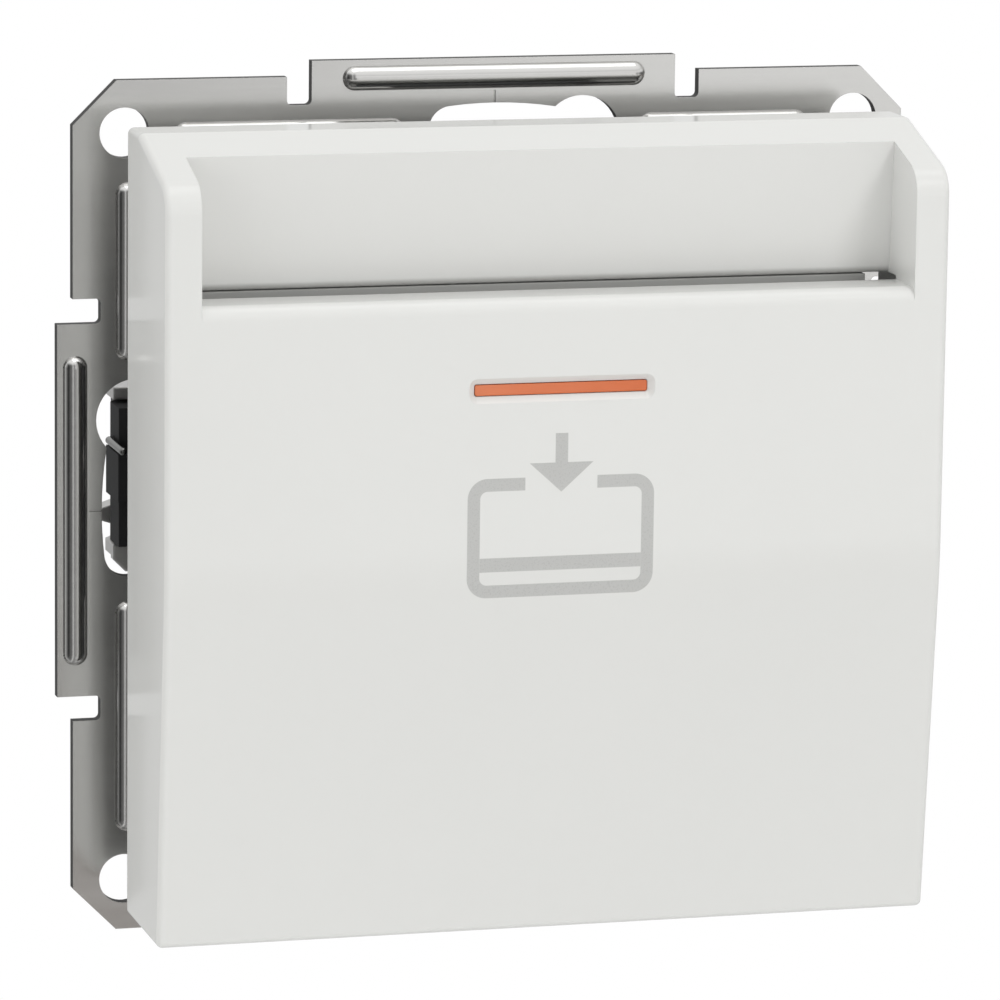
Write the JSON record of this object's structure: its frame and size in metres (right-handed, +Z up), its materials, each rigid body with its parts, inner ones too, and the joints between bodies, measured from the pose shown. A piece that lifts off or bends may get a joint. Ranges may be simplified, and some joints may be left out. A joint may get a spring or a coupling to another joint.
{
  "type": "hotel key card switch",
  "caption": "Flush wall switch for a hotel key card: a white cover with a card slot and an orange indicator window snaps onto a switch in a steel support frame with claws.",
  "frame": {"origin": "centre of the support frame on its rear face, which lies in the plane of the wall", "axes": "+X to the right as seen from the room, +Y into the wall, +Z up"},
  "size_m": [0.071, 0.047, 0.071],
  "materials": {
    "frame_steel": "satin",
    "cover_white": "satin",
    "lens_orange": "gloss",
    "tray_grey": "matte",
    "zinc_steel": "satin",
    "clear_plastic": "gloss",
    "lamp_socket": "matte",
    "board_green": "satin",
    "brass_strip": "satin",
    "lever_white": "satin",
    "spring_steel": "gloss",
    "lid_grey": "matte",
    "base_black": "matte",
    "copper_arm": "satin",
    "contact_silver": "satin",
    "release_white": "satin",
    "claw_steel": "satin"
  },
  "bodies": {
    "device": {"support_frame": "frame_steel", "frame_rivets": "frame_steel", "centre_plate": "cover_white", "indicator_lens": "lens_orange", "card_guide": "tray_grey", "guide_screws": "zinc_steel", "light_guide": "clear_plastic", "lamp_holder": "lamp_socket", "lamp_board": "board_green", "indicator_lamp": "clear_plastic", "lamp_pins": "brass_strip", "lever_pin": "spring_steel", "lever_spring": "spring_steel", "lid_screws": "zinc_steel", "switch_lid": "lid_grey", "switch_base": "base_black", "claw_springs": "spring_steel", "fixed_contacts": "contact_silver", "contact_pin": "spring_steel", "common_terminal": "brass_strip", "make_terminal": "brass_strip", "break_terminal": "brass_strip", "clamp_springs": "spring_steel", "plunger_spring": "spring_steel", "contact_spring": "spring_steel"},
    "flap": {"card_lever": "lever_white"},
    "button": {"plunger": "lever_white"},
    "rocker": {"contact_arm": "copper_arm", "moving_contact": "contact_silver"},
    "release_1": {"release_lever_1": "release_white"},
    "release_2": {"release_lever_2": "release_white"},
    "release_3": {"release_lever_3": "release_white"},
    "left_claw_body": {"left_claw": "claw_steel"},
    "left_nut_body": {"left_claw_nut": "zinc_steel"},
    "left_screw_body": {"left_claw_screw": "zinc_steel"},
    "right_claw_body": {"right_claw": "claw_steel"},
    "right_nut_body": {"right_claw_nut": "zinc_steel"},
    "right_screw_body": {"right_claw_screw": "zinc_steel"}
  },
  "joints": [
    {"name": "flap_hinge", "type": "hinge", "parent": "device", "child": "flap", "pos_m": [0, -0.0112, 0.008], "axis": [1, 0, 0], "range_deg": [0, 7.5], "stiffness_Nm_per_rad": 0.03, "springref_deg": -1.15, "deforming": ["lever_spring"]},
    {"name": "button_slide", "type": "slide", "parent": "device", "child": "button", "axis": [0, 1, 0], "range_m": [0, 0.00158], "deforming": ["plunger_spring"]},
    {"name": "rocker_hinge", "type": "hinge", "parent": "device", "child": "rocker", "pos_m": [0, 0.011, -0.013], "axis": [1, 0, 0], "range_deg": [-10.1, 0], "deforming": ["contact_spring"]},
    {"name": "release_1_press", "type": "slide", "parent": "device", "child": "release_1", "axis": [0, -1, 0], "range_m": [0, 0.0012], "stiffness_N_per_m": 500, "deforming": ["clamp_springs"]},
    {"name": "release_2_press", "type": "slide", "parent": "device", "child": "release_2", "axis": [0, -1, 0], "range_m": [0, 0.0012], "stiffness_N_per_m": 500, "deforming": ["clamp_springs"]},
    {"name": "release_3_press", "type": "slide", "parent": "device", "child": "release_3", "axis": [0, -1, 0], "range_m": [0, 0.0012], "stiffness_N_per_m": 500, "deforming": ["clamp_springs"]},
    {"name": "left_screw_turn", "type": "hinge", "parent": "device", "child": "left_screw_body", "pos_m": [-0.0209, 0, 0.0012], "axis": [0, 1, 0], "range_deg": [0, 2880]},
    {"name": "left_nut_slide", "type": "slide", "parent": "device", "child": "left_nut_body", "axis": [0, -1, 0], "range_m": [0, 0.004]},
    {"name": "left_claw_slide", "type": "slide", "parent": "device", "child": "left_claw_body", "axis": [-0.5736, -0.8192, 0], "range_m": [0, 0.00487]},
    {"name": "right_screw_turn", "type": "hinge", "parent": "device", "child": "right_screw_body", "pos_m": [0.0209, 0, -0.0012], "axis": [0, 1, 0], "range_deg": [0, 2880]},
    {"name": "right_nut_slide", "type": "slide", "parent": "device", "child": "right_nut_body", "axis": [0, -1, 0], "range_m": [0, 0.004]},
    {"name": "right_claw_slide", "type": "slide", "parent": "device", "child": "right_claw_body", "axis": [0.5736, -0.8192, 0], "range_m": [0, 0.00487]}
  ],
  "couplings": [
    {"joint": "button_slide", "follows": "flap_hinge", "m_per_rad": 0.012},
    {"joint": "rocker_hinge", "follows": "flap_hinge", "ratio": -1.3333},
    {"joint": "left_nut_slide", "follows": "left_claw_slide", "ratio": 0.81915},
    {"joint": "left_screw_turn", "follows": "left_claw_slide", "rad_per_m": 10294},
    {"joint": "right_nut_slide", "follows": "right_claw_slide", "ratio": 0.81915},
    {"joint": "right_screw_turn", "follows": "right_claw_slide", "rad_per_m": 10294}
  ]
}
